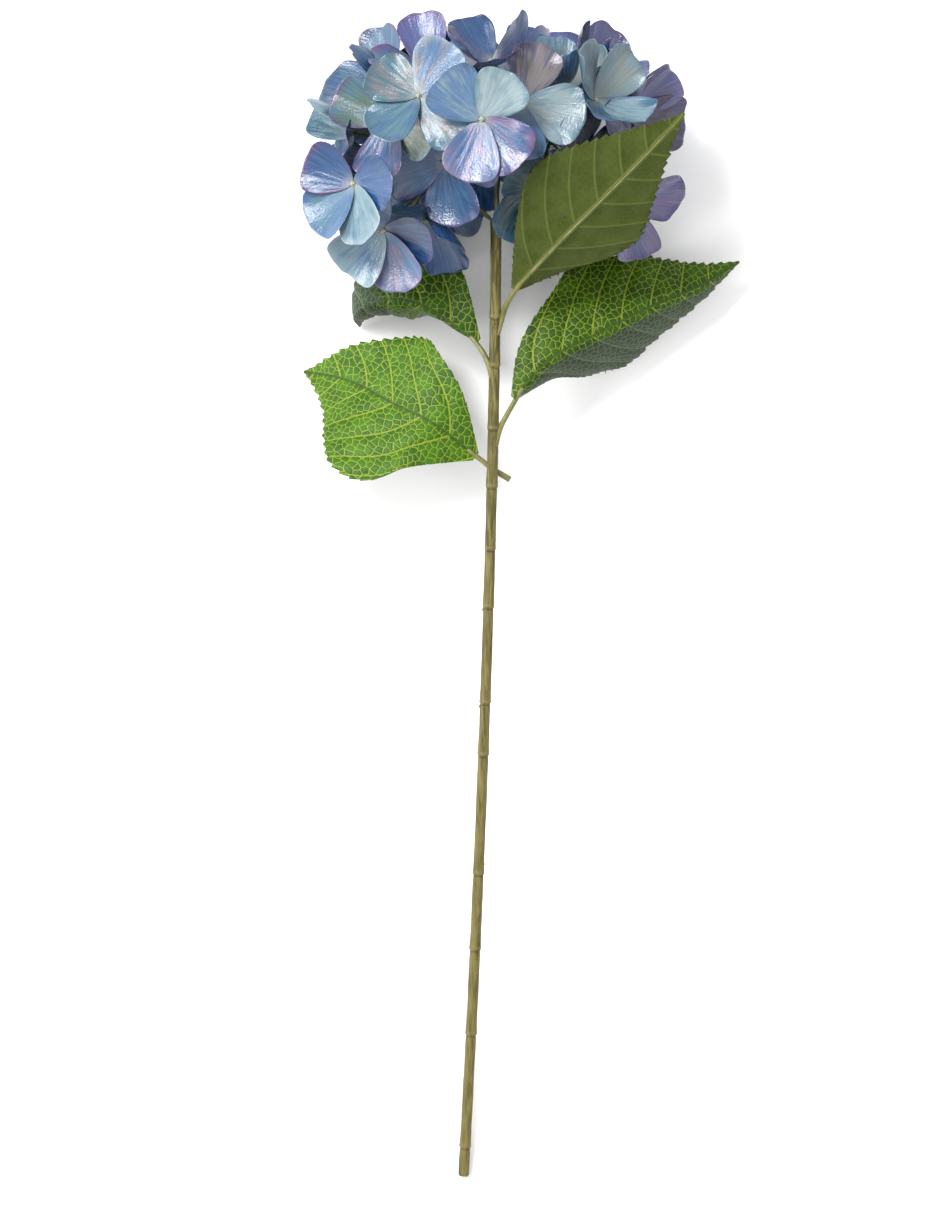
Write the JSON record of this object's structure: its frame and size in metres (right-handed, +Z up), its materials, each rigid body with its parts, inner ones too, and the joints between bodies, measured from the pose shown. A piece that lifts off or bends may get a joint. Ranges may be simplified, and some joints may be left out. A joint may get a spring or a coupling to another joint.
{
  "type": "cut hydrangea stem",
  "caption": "Long straight stem with broad toothed leaves and a round mop head of four-petalled florets, lying on its side.",
  "frame": {"origin": "on the surface the stem lies on, under the middle of the whole object's bounding box", "axes": "+Y along the stem from the cut end to the flower head, +Z up from the surface, +X to the right seen from above with the head at the far end"},
  "size_m": [0.2452, 0.6492, 0.1395],
  "materials": {
    "stem": "olive brown bark with ring nodes, matt",
    "leaves": "mid green with yellow-green net veins above, olive below, satin",
    "petals": "blue streaked with pale aqua, mauve and beige, satin",
    "rays": "olive green stalks, matt"
  },
  "bodies": {
    "root": {"stem": "stem", "leaf_lower_left": "leaves", "leaf_right": "leaves", "leaf_upper_right": "leaves", "leaf_behind_left": "leaves", "floret_01": "petals", "floret_02": "petals", "floret_03": "petals", "floret_04": "petals", "floret_05": "petals", "floret_06": "petals", "floret_07": "petals", "floret_08": "petals", "floret_09": "petals", "floret_10": "petals", "floret_11": "petals", "floret_12": "petals", "floret_13": "petals", "floret_14": "petals", "floret_15": "petals", "floret_16": "petals", "floret_17": "petals", "floret_18": "petals", "floret_19": "petals", "floret_20": "petals", "floret_21": "petals", "floret_22": "petals", "floret_23": "petals", "floret_24": "petals", "floret_25": "petals", "floret_26": "petals", "floret_27": "petals", "floret_28": "petals", "floret_29": "petals", "floret_30": "petals", "floret_31": "petals", "floret_32": "petals", "floret_33": "petals", "ray_1": "rays", "ray_2": "rays", "ray_3": "rays", "ray_4": "rays", "ray_5": "rays", "ray_6": "rays", "ray_7": "rays"}
  },
  "joints": []
}
